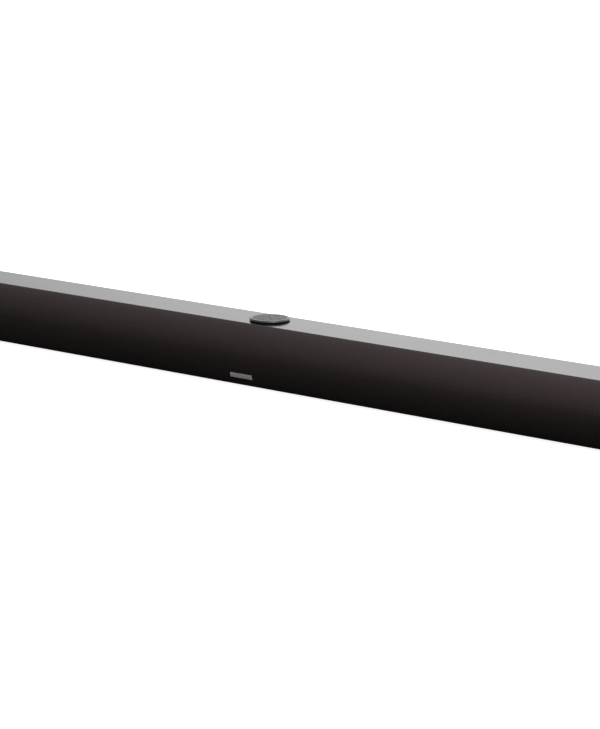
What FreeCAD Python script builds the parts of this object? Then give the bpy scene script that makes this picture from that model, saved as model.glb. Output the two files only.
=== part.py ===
import FreeCAD, Part
import math
import os

# A soundbar: a long bowed cabinet with a cloth front, four loudspeaker drivers, a round
# control pad on top and a connector bay in the back.
# Millimetres. X runs along the bar, -Y is the front, +Z is up. The origin is on the
# surface that the feet stand on, under the middle of the bar.

# Cabinet
length = 900.0
body_height = 64.0
body_depth = 78.0
nose_projection = 22.0       # how far the bowed front stands out past the flat top
nose_rise = 32.3             # height of the nose above the underside
lower_nose_radius = 73.0
front_corner_radius = 9.0
foot_height = 2.0
cap_thickness = 5.0
seam = 0.6                   # shadow gap round the grille
wall = 2.5
cover_thickness = 2.2
edge_round = 1.2
cloth_thickness = 0.8
grille_wall = 2.0
grille_lip = 6.0             # how far the grille turns in under the cabinet
baffle_wall = 3.0
baffle_setback = 3.0         # baffle face behind the edge of the flat top
cap_spigot = 6.0
fit_gap = 0.3                # between fixed pieces that slide together when assembled
running_gap = 0.2            # between a guided piece and its guide

# Loudspeaker drivers
driver_end_gap = 95.0        # last driver's axis from the end cap
driver_spacing = 140.0
driver_rim_gap = 2.2         # driver rim to the tray and the cover
driver_flange = 2.0
flange_width = 5.0
surround_width = 1.75        # radius of the surround's half roll
surround_thickness = 0.5
surround_lip = 0.6           # glued to the flange outside the roll
cone_thickness = 0.6
cone_depth = 10.0
coil_radius = 10.3
coil_wall = 0.5
coil_length = 8.0
magnet_gap = 0.8             # round the voice coil, inside and outside
magnet_depth = 12.0
magnet_width = 7.0           # ring magnet outside the voice coil's gap
basket_wall = 1.2
basket_step = 2.0            # the basket's back ring inside the magnet's edge
basket_window = 3.2
top_plate = 2.5
plate_step = 1.0             # the magnet's plates inside the ring magnet's edge
back_plate = 2.0
cap_rise = 5.0               # dust cap ahead of the cone's neck
cap_inset = 3.0
cap_shoulder = 0.6
cone_lip = 1.5
cone_travel = 2.0

# Control pad
key_radius = 18.0
rim_width = 3.3              # the raised ring's rim, outside the keys
rim_foot = 0.6               # the rim's width where it meets the cover
rim_chamfer = 1.4
rim_undercut = 1.1           # height of the rim's widest line above the cover
spigot_step = 1.6            # the ring's spigot inside the rim's foot
spigot_wall = 1.5
pad_height = 3.0
pad_y = 10.4
key_slit = 0.35
key_thickness = 2.1
key_travel = 0.4
key_leg_radius = 2.0
key_leg_orbit = 10.5
key_tip_radius = 1.5
key_head_radius = 2.7
key_snap = 0.8               # thickness of the leg's snap head
key_tip_length = 3.2
pad_floor = 1.2
pad_floor_drop = 0.3         # the ring's floor below the top of the cover
switch_half = 3.0
switch_height = 3.5
switch_floor = 0.8

# Boards and their sockets
board_thickness = 1.6
board_post = 8.0             # posts that lift the boards off the tray
bay_width = 160.0
bay_height = 27.0
bay_depth = 14.0
bay_wall = 2.0
bay_floor_gap = 5.0          # underside of the bay above the tray
panel_thickness = 2.0
socket_proud = 0.8           # sockets stand out of the connector panel
key_board_drop = 8.4         # key board below the top of the cover
key_board_margin = 7.8       # key board outside the ring's spigot, along the bar
key_board_half_y = 19.0
board_screw_inset = 4.0
board_gap = 4.0              # boards behind the baffle
status_x = 50.0
receiver_x = 66.0
status_half_x = 30.0
status_half_z = 7.0
status_thickness = 1.2
status_post = 2.4
light_radius = 2.5
light_foot = 2.0
light_setback = 0.6          # the light pipe's tip behind the cloth
receiver_half = 3.0
window_radius = 4.5          # holes in the grille for the light and the receiver
chamber_gap = 16.0           # chamber wall to the rim of the nearest driver
hdmi_size = (15.0, 6.2)
usb_size = (14.4, 7.2)
optical_size = (10.0, 10.0)
mains_size = (22.0, 14.0)
hdmi_depth = 12.0
hdmi_bevel = 1.6
usb_depth = 14.0
optical_depth = 13.5
mains_depth = 16.0
socket_back = 2.0            # back wall of each socket
metal_wall = 0.7             # plated shells of the HDMI and USB sockets
tongue_thickness = 1.6
tongue_setback = 1.8
aux_radius = 3.5             # outside of the 3.5 mm jack's barrel
aux_bore = 1.8
aux_depth = 14.0
aux_half = 4.5
pin_offset = 4.3             # half the spacing of the mains pins
pin_radius = 1.2
pin_setback = 3.0
socket_lip = 0.8             # front wall over the shutter's hinge
shutter_half = 2.9
shutter_thickness = 0.7
shutter_pin = 0.6
shutter_low = 2.0            # optical mouth above the board
shutter_clear = 0.9          # hinge axis above the mouth

# Parts on the boards
part_inset = 3.0             # parts behind the front edge of their board
chip_x = 102.0
chip_inset = 9.0             # middle of the chip behind the board's front edge
chip_half = 7.0
chip_height = 1.2
sink_half_x = 26.0
sink_half_y = 8.0
sink_base = 3.0
sink_height = 18.0
sink_fin = 1.4
sink_fins = 9
sink_leg = 4.0
filter_radius = 4.6
filter_height = 7.0
filter_pitch = 13.0
filter_first = 22.0
module_x = -5.0
module_half_x = 8.0
module_length = 20.0
module_board = 1.0
module_can = 2.0
module_can_length = 13.0
transformer_x = -112.0
transformer_half_x = 13.0
transformer_half_y = 11.0
transformer_height = 20.0
transformer_base = 2.0
winding_half = 8.0
transformer_leg = 4.0

# Wadding and leads
wadding_gap = 4.0            # behind the magnets
wadding_headroom = 9.0
lead_radius = 1.1
lead_bend = 2.4
lead_rise = 3.0              # leads above the tray
lead_pitch = 2.3
lead_spread = 9.0            # leads' ends either side of their middle on the main board

# Mounts and feet
insert_spacing = 560.0
insert_rise = 40.0           # above the underside
insert_radius = 3.5
insert_bore = 2.1
insert_length = 9.5
foot_radius = 8.0
foot_recess = 0.8
foot_inset_x = 70.0
foot_share_y = 0.276         # feet in from the tray's long edges, as a share of its depth

# Fasteners
screw_radius = 1.5
screw_head_radius = 2.8
screw_head_height = 1.6
screw_post_radius = 3.6
case_screw_inset = 30.0
screw_thread = 0.05          # how much smaller a shank is than its hole
screw_bite = 5.0             # shank past the pieces that it clamps
case_screw_bite = 7.0
board_screw_radius = 1.2
board_screw_head = 2.2
driver_screw_head = 1.5

# Grille, badge, vents and the plain label's recess
peg_radius = 2.0
peg_inset = 20.0             # end pegs from the end caps
peg_to_chamber = 12.0
grille_slots = 5
grille_slot_height = 4.6
grille_slot_pitch = 8.4
badge_width = 29.0
badge_height = 4.6
badge_rise = 11.8            # middle of the badge above the underside
badge_thickness = 0.6
vent_count = 14
vent_width = 2.0
vent_pitch = 5.0
vent_height = 12.0
vent_gap = 6.0               # vents above the connector bay
label_x = 180.0
label_length = 90.0
label_height = 26.0
label_depth = 0.4

# Places worked out from the sizes above
X_END = length / 2 - cap_thickness
Y_BACK = body_depth / 2
Y_NOSE = -body_depth / 2
Y_LIP = Y_NOSE + nose_projection
Z_BOTTOM = foot_height
Z_TOP = foot_height + body_height
Z_FLOOR = Z_BOTTOM + wall
Z_CEILING = Z_TOP - cover_thickness
Z_NOSE = Z_BOTTOM + nose_rise
NOSE_DROP = body_height - nose_rise
UPPER_NOSE_RADIUS = (nose_projection**2 + NOSE_DROP**2) / (2 * nose_projection)
Y_UPPER = Y_NOSE + UPPER_NOSE_RADIUS
Y_LOWER = Y_NOSE + lower_nose_radius
Z_CORNER = Z_BOTTOM + front_corner_radius
CORNER_REACH = lower_nose_radius - front_corner_radius
Y_CORNER = Y_LOWER - math.sqrt(CORNER_REACH**2 - (Z_NOSE - Z_CORNER) ** 2)
Y_GRILLE_END = Y_CORNER + grille_lip
Y_TRAY = Y_GRILLE_END + seam
Y_BAFFLE = Y_LIP + baffle_setback
Y_BAFFLE_BACK = Y_BAFFLE + baffle_wall
Y_INSIDE = Y_BACK - wall
Z_DRIVER = (Z_FLOOR + Z_CEILING) / 2
DRIVER_RADIUS = (Z_CEILING - Z_FLOOR) / 2 - driver_rim_gap
CONE_HOLE = DRIVER_RADIUS - flange_width
CONE_RADIUS = CONE_HOLE + 1.0 - 2 * surround_width
BASKET_RADIUS = CONE_HOLE + basket_wall
BASKET_DEPTH = cone_depth + 2.0
DRIVER_X = [
    -X_END + driver_end_gap,
    -X_END + driver_end_gap + driver_spacing,
    X_END - driver_end_gap - driver_spacing,
    X_END - driver_end_gap,
]
CHAMBER_X = DRIVER_X[2] - DRIVER_RADIUS - chamber_gap
Z_BOARD = Z_FLOOR + board_post
Z_BOARD_TOP = Z_BOARD + board_thickness
Z_BAY = Z_FLOOR + bay_floor_gap
Y_PANEL = Y_BACK - bay_depth
Y_SOCKET = Y_PANEL + socket_proud
Y_BOARD = Y_BAFFLE_BACK + board_gap
Y_BOARD_BACK = Y_PANEL - panel_thickness - 1.0
CHIP_Y = Y_BOARD + chip_inset
MAIN_BOARD = (-22.0, 140.0, Y_BOARD, Y_BOARD_BACK)
POWER_BOARD = (-145.0, -28.0, Y_BOARD, Y_BOARD_BACK)
CAPACITORS = [(-84.0, 9.0, 26.0), (-46.0, 6.5, 20.0)]
SOCKET_X = {"hdmi": 12.0, "usb": 32.0, "aux": 50.0, "optical": 68.0, "mains": -58.0}
SOCKETS = {
    "hdmi": hdmi_size,
    "usb": usb_size,
    "optical": optical_size,
    "mains": mains_size,
}
PAD_FOOT = key_radius + running_gap + rim_foot
PAD_RADIUS = key_radius + running_gap + rim_width
SPIGOT_RADIUS = PAD_FOOT - spigot_step
Z_KEY = Z_TOP + pad_height
Z_PAD_FLOOR = Z_TOP - pad_floor_drop
Z_KEY_BOARD = Z_TOP - key_board_drop
KEY_BOARD_HALF_X = SPIGOT_RADIUS + key_board_margin
STATUS_MIDDLE = (status_x + receiver_x) / 2
STATUS_FACE = Y_BAFFLE - status_post - status_thickness
AUX_Z = Z_BOARD_TOP + aux_half
HINGE_Z = Z_BOARD_TOP + shutter_low + 2 * shutter_half + shutter_clear
HINGE_Y = Y_SOCKET - socket_lip - shutter_thickness - shutter_pin + 0.1
BACK_RING = -BASKET_DEPTH + basket_wall
COIL_OUTER = coil_radius + magnet_gap
COIL_INNER = coil_radius - coil_wall - magnet_gap
MAGNET_RADIUS = COIL_OUTER + magnet_width
LEAD_Y = Y_BAFFLE + BASKET_DEPTH + magnet_depth / 2
LEAD_Z = Z_FLOOR + lead_rise
LEAD_HOLE = 2 * lead_radius + 4 * fit_gap
LEAD_START = (MAIN_BOARD[0] + MAIN_BOARD[1]) / 2
CASE_SCREW_X = [
    -X_END + case_screw_inset,
    -X_END / 3 - case_screw_inset,
    X_END / 3 + case_screw_inset,
    X_END - case_screw_inset,
]
PEG_X = [
    -X_END + peg_inset,
    (DRIVER_X[0] + DRIVER_X[1]) / 2,
    -CHAMBER_X + peg_to_chamber,
    CHAMBER_X - peg_to_chamber,
    (DRIVER_X[2] + DRIVER_X[3]) / 2,
    X_END - peg_inset,
]


def point(x, y, z):
    return FreeCAD.Vector(x, y, z)


def block(x0, x1, y0, y1, z0, z1):
    return Part.makeBox(x1 - x0, y1 - y0, z1 - z0, point(x0, y0, z0))


def rod(radius, start, end):
    """A cylinder from one point to another."""
    run = end - start
    return Part.makeCylinder(radius, run.Length, start, run)


def post(radius, x, y, z0, z1):
    return rod(radius, point(x, y, z0), point(x, y, z1))


def bolt(radius, x, z, y0, y1):
    return rod(radius, point(x, y0, z), point(x, y1, z))


def turned(outline, centre, direction):
    """A solid of revolution. outline holds (radius, distance along direction) pairs."""
    corners = [point(r, 0, s) for r, s in outline]
    solid = Part.Face(Part.makePolygon(corners + corners[:1])).revolve(
        point(0, 0, 0), point(0, 0, 1), 360
    )
    solid.Placement = FreeCAD.Placement(
        centre, FreeCAD.Rotation(point(0, 0, 1), direction)
    )
    return solid


def joined(shapes):
    return shapes[0].fuse(shapes[1:]).removeSplitter()


def save(name, shape):
    shape.exportStep("parts/" + name + ".step")


def bow_edges(inset, y_top, y_end):
    """The bowed front from y_top on its upper arc, round the nose, to y_end underneath."""
    upper = UPPER_NOSE_RADIUS - inset
    lower = lower_nose_radius - inset
    corner = front_corner_radius - inset
    top = point(0, y_top, Z_NOSE + math.sqrt(upper**2 - (y_top - Y_UPPER) ** 2))
    nose = point(0, Y_NOSE + inset, Z_NOSE)
    middle = math.atan2(top.z - Z_NOSE, Y_UPPER - top.y) / 2
    upper_mid = point(
        0, Y_UPPER - upper * math.cos(middle), Z_NOSE + upper * math.sin(middle)
    )
    tangent = math.asin((Z_NOSE - Z_CORNER) / CORNER_REACH)
    lower_mid = point(
        0,
        Y_LOWER - lower * math.cos(tangent / 2),
        Z_NOSE - lower * math.sin(tangent / 2),
    )
    lower_end = point(
        0, Y_LOWER - lower * math.cos(tangent), Z_NOSE - lower * math.sin(tangent)
    )
    turn = (tangent + math.pi / 2) / 2
    corner_mid = point(
        0, Y_CORNER - corner * math.cos(turn), Z_CORNER - corner * math.sin(turn)
    )
    corner_end = point(0, Y_CORNER, Z_BOTTOM + inset)
    end = point(0, y_end, Z_BOTTOM + inset)
    return [
        Part.Arc(top, upper_mid, nose).toShape(),
        Part.Arc(nose, lower_mid, lower_end).toShape(),
        Part.Arc(lower_end, corner_mid, corner_end).toShape(),
        Part.LineSegment(corner_end, end).toShape(),
    ]


def curve_ends(edges):
    return edges[0].Vertexes[0].Point, edges[-1].Vertexes[-1].Point


def drawn_along(edges, x0, x1):
    """A closed outline in the YZ plane, drawn out from x0 to x1."""
    solid = Part.Face(Part.Wire(edges)).extrude(point(x1 - x0, 0, 0))
    solid.translate(point(x0, 0, 0))
    return solid


def bowed_shell(outer, inner, x0, x1):
    """A shell that follows the bowed front between two insets."""
    outside = bow_edges(outer, Y_LIP - seam, Y_GRILLE_END)
    inside = bow_edges(inner, Y_LIP - seam, Y_GRILLE_END)
    top_out, end_out = curve_ends(outside)
    top_in, end_in = curve_ends(inside)
    ends = [
        Part.LineSegment(end_out, end_in).toShape(),
        Part.LineSegment(top_in, top_out).toShape(),
    ]
    return drawn_along(Part.__sortEdges__(outside + inside + ends), x0, x1)


def bottom_tray():
    tray = block(-X_END, X_END, Y_TRAY, Y_INSIDE, Z_BOTTOM, Z_FLOOR)
    posts = [
        post(screw_post_radius, x, y, Z_FLOOR, Z_BOARD) for x, y in board_screw_places()
    ]
    tray = joined([tray] + posts)
    for x, y in board_screw_places():
        tray = tray.cut(post(board_screw_radius, x, y, Z_FLOOR, Z_BOARD))
    for x in CASE_SCREW_X:
        y = Y_BAFFLE_BACK + screw_post_radius
        tray = tray.cut(post(screw_radius, x, y, Z_BOTTOM, Z_FLOOR))
        tray = tray.cut(
            post(
                screw_head_radius + fit_gap, x, y, Z_BOTTOM, Z_BOTTOM + screw_head_height
            )
        )
    for x, y in foot_places():
        tray = tray.cut(
            post(foot_radius + fit_gap / 2, x, y, Z_BOTTOM, Z_BOTTOM + foot_recess)
        )
    return tray


def foot_places():
    inset = foot_share_y * (Y_BACK - Y_TRAY)
    front = Y_TRAY + inset
    back = Y_BACK - inset
    side = X_END - foot_inset_x
    return [(-side, front), (side, front), (-side, back), (side, back)]


def foot(x, y):
    pad = post(foot_radius, x, y, 0, Z_BOTTOM + foot_recess)
    bottom = [e for e in pad.Edges if abs(e.CenterOfMass.z) < 0.001 and e.Closed]
    return pad.makeFillet(foot_height / 3, bottom)


def bay_box(inset, y0, y1):
    half = bay_width / 2 - inset
    return block(-half, half, y0, y1, Z_BAY + inset, Z_BAY + bay_height - inset)


def insert_places():
    z = Z_BOTTOM + insert_rise
    return [(-insert_spacing / 2, z), (insert_spacing / 2, z)]


def back_panel():
    panel = block(-X_END, X_END, Y_INSIDE, Y_BACK, Z_BOTTOM, Z_CEILING)
    lower_edge = [
        e
        for e in panel.Edges
        if abs(e.CenterOfMass.y - Y_BACK) < 0.01 and abs(e.CenterOfMass.z - Z_BOTTOM) < 0.01
    ]
    panel = panel.makeFillet(edge_round, lower_edge)
    bosses = [
        bolt(insert_radius + wall, x, z, Y_BACK - insert_length - wall, Y_BACK)
        for x, z in insert_places()
    ]
    ears = [
        bolt(screw_post_radius, x, z, Y_PANEL, Y_INSIDE) for x, z in panel_screw_places()
    ]
    panel = joined([panel, bay_box(0, Y_PANEL, Y_BACK)] + bosses + ears)
    panel = panel.cut(bay_box(bay_wall, Y_PANEL - 1.0, Y_BACK + 1.0))
    for x, z in insert_places():
        panel = panel.cut(bolt(insert_radius, x, z, Y_BACK - insert_length, Y_BACK))
    for x, z in back_screw_places():
        panel = panel.cut(bolt(screw_radius, x, z, Y_INSIDE, Y_BACK))
        panel = panel.cut(
            bolt(screw_head_radius + fit_gap, x, z, Y_BACK - screw_head_height, Y_BACK)
        )
    for x, z in panel_screw_places():
        panel = panel.cut(bolt(board_screw_radius, x, z, Y_PANEL, Y_PANEL + screw_bite))
    vent_low = Z_BAY + bay_height + vent_gap
    for i in range(vent_count):
        x = (i - (vent_count - 1) / 2) * vent_pitch - vent_width / 2
        panel = panel.cut(
            block(x, x + vent_width, Y_INSIDE, Y_BACK, vent_low, vent_low + vent_height)
        )
    label = block(
        label_x - label_length / 2,
        label_x + label_length / 2,
        Y_BACK - label_depth,
        Y_BACK,
        Z_NOSE - label_height / 2,
        Z_NOSE + label_height / 2,
    )
    return panel.cut(label)


def back_screw_places():
    return [(x, Z_CEILING - screw_post_radius) for x in CASE_SCREW_X]


def panel_screw_places():
    """Screws that hold the connector panel to an ear at each end of the bay."""
    x = bay_width / 2 + screw_post_radius - bay_wall / 2
    return [(s * x, Z_BAY + bay_height / 2) for s in (-1, 1)]


def socket_sizes():
    """Width, bottom and top of each socket where it passes the connector panel."""
    return {
        name: (width, Z_BOARD_TOP, Z_BOARD_TOP + height)
        for name, (width, height) in SOCKETS.items()
    }


def connector_panel():
    ear = 2 * screw_post_radius
    front = Y_PANEL - panel_thickness
    gap = fit_gap / 2
    panel = block(
        -bay_width / 2 - ear,
        bay_width / 2 + ear,
        front,
        Y_PANEL,
        Z_BAY,
        Z_BAY + bay_height,
    )
    for name, (width, low, high) in socket_sizes().items():
        left = SOCKET_X[name] - width / 2 - gap
        right = SOCKET_X[name] + width / 2 + gap
        panel = panel.cut(block(left, right, front, Y_PANEL, low - gap, high + gap))
    panel = panel.cut(bolt(aux_radius + gap, SOCKET_X["aux"], AUX_Z, front, Y_PANEL))
    for x, z in panel_screw_places():
        panel = panel.cut(bolt(board_screw_radius + fit_gap, x, z, front, Y_PANEL))
    return panel


def top_cover():
    cover = block(-X_END, X_END, Y_LIP, Y_BACK, Z_CEILING, Z_TOP)
    long_edges = [
        e
        for e in cover.Edges
        if abs(e.CenterOfMass.z - Z_TOP) < 0.01 and e.Length > length / 2
    ]
    cover = cover.makeFillet(edge_round / 2, long_edges)
    lugs = [
        block(
            x - screw_post_radius,
            x + screw_post_radius,
            Y_INSIDE - 2 * screw_post_radius,
            Y_INSIDE,
            Z_CEILING - 2 * screw_post_radius,
            Z_CEILING,
        )
        for x in CASE_SCREW_X
    ]
    legs = [
        post(screw_post_radius, x, y, Z_KEY_BOARD, Z_CEILING)
        for x, y in key_board_screw_places()
    ]
    cover = joined([cover] + lugs + legs)
    cover = cover.cut(post(SPIGOT_RADIUS + fit_gap / 2, 0, pad_y, Z_CEILING, Z_TOP))
    for x, z in back_screw_places():
        cover = cover.cut(
            bolt(screw_radius, x, z, Y_INSIDE - 2 * screw_post_radius, Y_INSIDE)
        )
    for x, y in key_board_screw_places():
        cover = cover.cut(post(board_screw_radius, x, y, Z_KEY_BOARD, Z_CEILING))
    return cover


def driver_point(index):
    return point(DRIVER_X[index], Y_BAFFLE, Z_DRIVER)


def front_baffle():
    baffle = block(-X_END, X_END, Y_BAFFLE, Y_BAFFLE_BACK, Z_FLOOR, Z_CEILING)
    ribs = [
        block(
            s * CHAMBER_X - baffle_wall / 2,
            s * CHAMBER_X + baffle_wall / 2,
            Y_BAFFLE_BACK,
            Y_INSIDE,
            Z_FLOOR,
            Z_CEILING,
        )
        for s in (-1, 1)
    ]
    bosses = [
        post(
            screw_post_radius,
            x,
            Y_BAFFLE_BACK + screw_post_radius,
            Z_FLOOR,
            Z_FLOOR + 4 * screw_post_radius,
        )
        for x in CASE_SCREW_X
    ]
    status_posts = [
        bolt(board_screw_head, x, Z_NOSE, Y_BAFFLE - status_post, Y_BAFFLE)
        for x in status_screw_places()
    ]
    webs = [
        block(
            x - screw_post_radius / 2,
            x + screw_post_radius / 2,
            Y_BAFFLE_BACK,
            Y_BAFFLE_BACK + screw_post_radius,
            Z_FLOOR,
            Z_FLOOR + 4 * screw_post_radius,
        )
        for x in CASE_SCREW_X
    ]
    baffle = joined([baffle] + ribs + bosses + webs + status_posts)
    for i in range(len(DRIVER_X)):
        x = DRIVER_X[i]
        hole = BASKET_RADIUS + fit_gap
        baffle = baffle.cut(bolt(hole, x, Z_DRIVER, Y_BAFFLE, Y_BAFFLE_BACK))
        for sx, sz in driver_screw_places(x):
            baffle = baffle.cut(
                bolt(board_screw_radius, sx, sz, Y_BAFFLE, Y_BAFFLE_BACK)
            )
    for x in PEG_X:
        baffle = baffle.cut(
            bolt(peg_radius + fit_gap / 2, x, Z_NOSE, Y_BAFFLE, Y_BAFFLE_BACK)
        )
    for x in status_screw_places():
        baffle = baffle.cut(
            bolt(board_screw_radius, x, Z_NOSE, Y_BAFFLE - status_post, Y_BAFFLE_BACK)
        )
    for x in CASE_SCREW_X:
        y = Y_BAFFLE_BACK + screw_post_radius
        baffle = baffle.cut(
            post(screw_radius, x, y, Z_FLOOR, Z_FLOOR + 3 * screw_post_radius)
        )
    for x in (-CHAMBER_X, CHAMBER_X):
        baffle = baffle.cut(
            rod(
                LEAD_HOLE,
                point(x - baffle_wall, LEAD_Y, LEAD_Z),
                point(x + baffle_wall, LEAD_Y, LEAD_Z),
            )
        )
    return baffle


def grille_frame():
    inner = cloth_thickness + grille_wall
    frame = bowed_shell(cloth_thickness, inner, -X_END, X_END)
    pegs = [
        bolt(peg_radius, x, Z_NOSE, Y_NOSE + inner - grille_wall / 2, Y_BAFFLE_BACK)
        for x in PEG_X
    ]
    frame = joined([frame] + pegs)
    half = grille_slot_height / 2
    for x in DRIVER_X:
        for row in range(grille_slots):
            z = Z_DRIVER + (row - (grille_slots - 1) / 2) * grille_slot_pitch
            slot = block(x - CONE_HOLE, x + CONE_HOLE, Y_NOSE, Y_LIP, z - half, z + half)
            frame = frame.cut(slot)
    for x in (status_x, receiver_x):
        frame = frame.cut(bolt(window_radius, x, Z_NOSE, Y_NOSE, Y_NOSE + 2 * inner))
    return frame


def grille_cloth():
    return bowed_shell(0.0, cloth_thickness, -X_END, X_END)


def badge():
    """A plain plate bent to the curve of the cloth."""
    low = Z_BOTTOM + badge_rise - badge_height / 2
    high = low + badge_height
    plate = bowed_shell(-badge_thickness, 0.0, -badge_width / 2, badge_width / 2)
    window = block(-badge_width, badge_width, Y_NOSE - 5.0, Y_CORNER, low, high)
    return plate.common(window)


def end_cap(side):
    """The cap at one end; side is -1 or 1."""
    front = bow_edges(0.0, Y_LIP, Y_GRILLE_END)
    start, end = curve_ends(front)
    corner = point(0, Y_BACK, Z_TOP)
    foot_corner = point(0, Y_BACK, Z_BOTTOM)
    outline = front + [
        Part.LineSegment(end, foot_corner).toShape(),
        Part.LineSegment(foot_corner, corner).toShape(),
        Part.LineSegment(corner, start).toShape(),
    ]
    plate = drawn_along(outline, X_END, X_END + cap_thickness)
    outer = [
        e
        for e in plate.Edges
        if abs(e.BoundBox.XMin - X_END - cap_thickness) < 0.01
        and abs(e.BoundBox.XMax - X_END - cap_thickness) < 0.01
    ]
    plate = plate.makeFillet(edge_round, outer)
    y0 = Y_BAFFLE_BACK + fit_gap
    y1 = Y_INSIDE - fit_gap
    z0 = Z_FLOOR + fit_gap
    z1 = Z_CEILING - fit_gap
    spigot = block(X_END - cap_spigot, X_END, y0, y1, z0, z1)
    hollow = block(
        X_END - cap_spigot, X_END, y0 + wall, y1 - wall, z0 + wall, z1 - wall
    )
    cap = joined([plate, spigot.cut(hollow)])
    if side < 0:
        cap = cap.mirror(point(0, 0, 0), point(1, 0, 0))
    return cap


def key_leg_places():
    """Middle of each key, going round from the right."""
    places = []
    for i in range(4):
        angle = math.pi / 2 * i
        places.append(
            (key_leg_orbit * math.cos(angle), pad_y + key_leg_orbit * math.sin(angle))
        )
    return places


def control_ring():
    """The raised ring, its floor with four guide holes, and its spigot."""
    inside = key_radius + running_gap
    rim = turned(
        [
            (inside, 0.0),
            (PAD_FOOT, 0.0),
            (PAD_RADIUS, rim_undercut),
            (PAD_RADIUS, pad_height - rim_chamfer),
            (PAD_RADIUS - rim_chamfer, pad_height),
            (inside, pad_height),
        ],
        point(0, pad_y, Z_TOP),
        point(0, 0, 1),
    )
    floor_low = Z_PAD_FLOOR - pad_floor
    floor = post(SPIGOT_RADIUS, 0, pad_y, floor_low, Z_PAD_FLOOR)
    web_top = Z_KEY - key_thickness - key_travel - fit_gap
    bore = SPIGOT_RADIUS - spigot_wall
    web = post(PAD_FOOT, 0, pad_y, Z_TOP, web_top).cut(
        post(bore, 0, pad_y, Z_TOP, web_top)
    )
    neck = post(SPIGOT_RADIUS, 0, pad_y, Z_PAD_FLOOR, Z_TOP).cut(
        post(bore, 0, pad_y, Z_PAD_FLOOR, Z_TOP)
    )
    ring = joined([rim, web, neck, floor])
    for x, y in key_leg_places():
        guide = post(key_leg_radius + running_gap, x, y, floor_low, Z_PAD_FLOOR)
        ring = ring.cut(guide)
    return ring


def key(index):
    """One quarter key: its top, its leg through the ring's floor, its snap head and tip."""
    under = Z_KEY - key_thickness
    disc = post(key_radius, 0, pad_y, under, Z_KEY)
    slit = block(-PAD_RADIUS, PAD_RADIUS, -key_slit / 2, key_slit / 2, 0, 2 * Z_TOP)
    for turn in (45, 135):
        knife = slit.copy()
        knife.rotate(point(0, 0, 0), point(0, 0, 1), turn)
        knife.translate(point(0, pad_y, 0))
        disc = disc.cut(knife)
    x, y = key_leg_places()[index]
    middle = point(x, y, (under + Z_KEY) / 2)
    quarter = next(s for s in disc.Solids if s.isInside(middle, 0.01, True))
    head_top = Z_PAD_FLOOR - pad_floor - running_gap
    head_low = head_top - key_snap
    leg = post(key_leg_radius, x, y, head_top, under)
    head = post(key_head_radius, x, y, head_low, head_top)
    tip = post(key_tip_radius, x, y, head_low - key_tip_length, head_low)
    return joined([quarter, leg, head, tip])


def key_board_screw_places():
    x = KEY_BOARD_HALF_X - board_screw_inset
    y = key_board_half_y - board_screw_inset
    return [(sx * x, pad_y + sy * y) for sx in (-1, 1) for sy in (-1, 1)]


def key_board():
    low = Z_KEY_BOARD - board_thickness
    board = block(
        -KEY_BOARD_HALF_X,
        KEY_BOARD_HALF_X,
        pad_y - key_board_half_y,
        pad_y + key_board_half_y,
        low,
        Z_KEY_BOARD,
    )
    for x, y in key_board_screw_places():
        board = board.cut(post(board_screw_radius, x, y, low, Z_KEY_BOARD))
    return board


def key_switches():
    """Four square switch bodies with a bore for the tip of each key."""
    half = switch_half
    high = Z_KEY_BOARD + switch_height
    bore_low = Z_KEY_BOARD + switch_floor
    bodies = []
    for x, y in key_leg_places():
        body = block(x - half, x + half, y - half, y + half, Z_KEY_BOARD, high)
        bodies.append(body.cut(post(key_tip_radius + running_gap, x, y, bore_low, high)))
    return Part.makeCompound(bodies)


def board_corners(board):
    x0, x1, y0, y1 = board
    inset = board_screw_inset
    return [(x, y) for x in (x0 + inset, x1 - inset) for y in (y0 + inset, y1 - inset)]


def board_screw_places():
    return board_corners(MAIN_BOARD) + board_corners(POWER_BOARD)


def circuit_board(board):
    x0, x1, y0, y1 = board
    sheet = block(x0, x1, y0, y1, Z_BOARD, Z_BOARD_TOP)
    for x, y in board_corners(board):
        sheet = sheet.cut(post(board_screw_radius, x, y, Z_BOARD, Z_BOARD_TOP))
    return sheet


def amplifier_chip():
    return block(
        chip_x - chip_half,
        chip_x + chip_half,
        CHIP_Y - chip_half,
        CHIP_Y + chip_half,
        Z_BOARD_TOP,
        Z_BOARD_TOP + chip_height,
    )


def heat_sink():
    """An extruded block with upright fins, on the amplifier chip."""
    y0 = CHIP_Y - sink_half_y
    y1 = CHIP_Y + sink_half_y
    left = chip_x - sink_half_x
    right = chip_x + sink_half_x
    low = Z_BOARD_TOP + chip_height
    shapes = [block(left, right, y0, y1, low, low + sink_base)]
    pitch = (2 * sink_half_x - sink_fin) / (sink_fins - 1)
    for i in range(sink_fins):
        x = left + i * pitch
        shapes.append(block(x, x + sink_fin, y0, y1, low + sink_base, low + sink_height))
    shapes.append(block(left, left + sink_leg, y0, y1, Z_BOARD_TOP, low))
    shapes.append(block(right - sink_leg, right, y0, y1, Z_BOARD_TOP, low))
    return joined(shapes)


def output_filters():
    y = Y_BOARD + filter_radius + part_inset
    top = Z_BOARD_TOP + filter_height
    return Part.makeCompound(
        [
            post(filter_radius, filter_first + filter_pitch * i, y, Z_BOARD_TOP, top)
            for i in range(len(DRIVER_X))
        ]
    )


def wireless_module():
    """A small board with a metal can over part of it."""
    x0 = module_x - module_half_x
    x1 = module_x + module_half_x
    y = Y_BOARD + 2 * part_inset
    board_top = Z_BOARD_TOP + module_board
    board = block(x0, x1, y, y + module_length, Z_BOARD_TOP, board_top)
    can = block(
        x0 + module_board,
        x1 - module_board,
        y + module_board,
        y + module_can_length,
        board_top,
        board_top + module_can,
    )
    return joined([board, can])


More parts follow.
